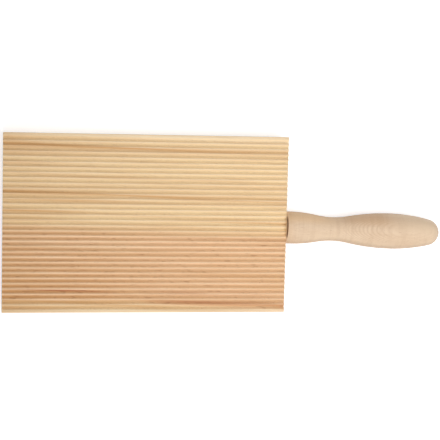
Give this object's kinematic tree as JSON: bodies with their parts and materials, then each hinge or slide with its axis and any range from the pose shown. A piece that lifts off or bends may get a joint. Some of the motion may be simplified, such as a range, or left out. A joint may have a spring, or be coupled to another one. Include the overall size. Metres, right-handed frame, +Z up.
{
  "type": "gnocchi board",
  "caption": "Flat wooden board with rounded ridges cut lengthwise across its upper face and a turned handle set into one end, for rolling small pasta.",
  "frame": {"origin": "centre of the board's flat underside, on the board's middle line and half way along it", "axes": "+X along the ridges towards the handle, +Y across the ridges, +Z up out of the ridged face"},
  "size_m": [0.3148, 0.125, 0.0258],
  "materials": {
    "board_wood": "bare planed hardwood, straight grain with orange-brown streaks, sanded smooth",
    "handle_wood": "bare turned beech, fine flecks and faint tool rings",
    "dowel_wood": "bare fluted beech rod"
  },
  "bodies": {
    "root": {"ridged_board": "board_wood", "handle": "handle_wood", "dowel": "dowel_wood"}
  },
  "joints": []
}
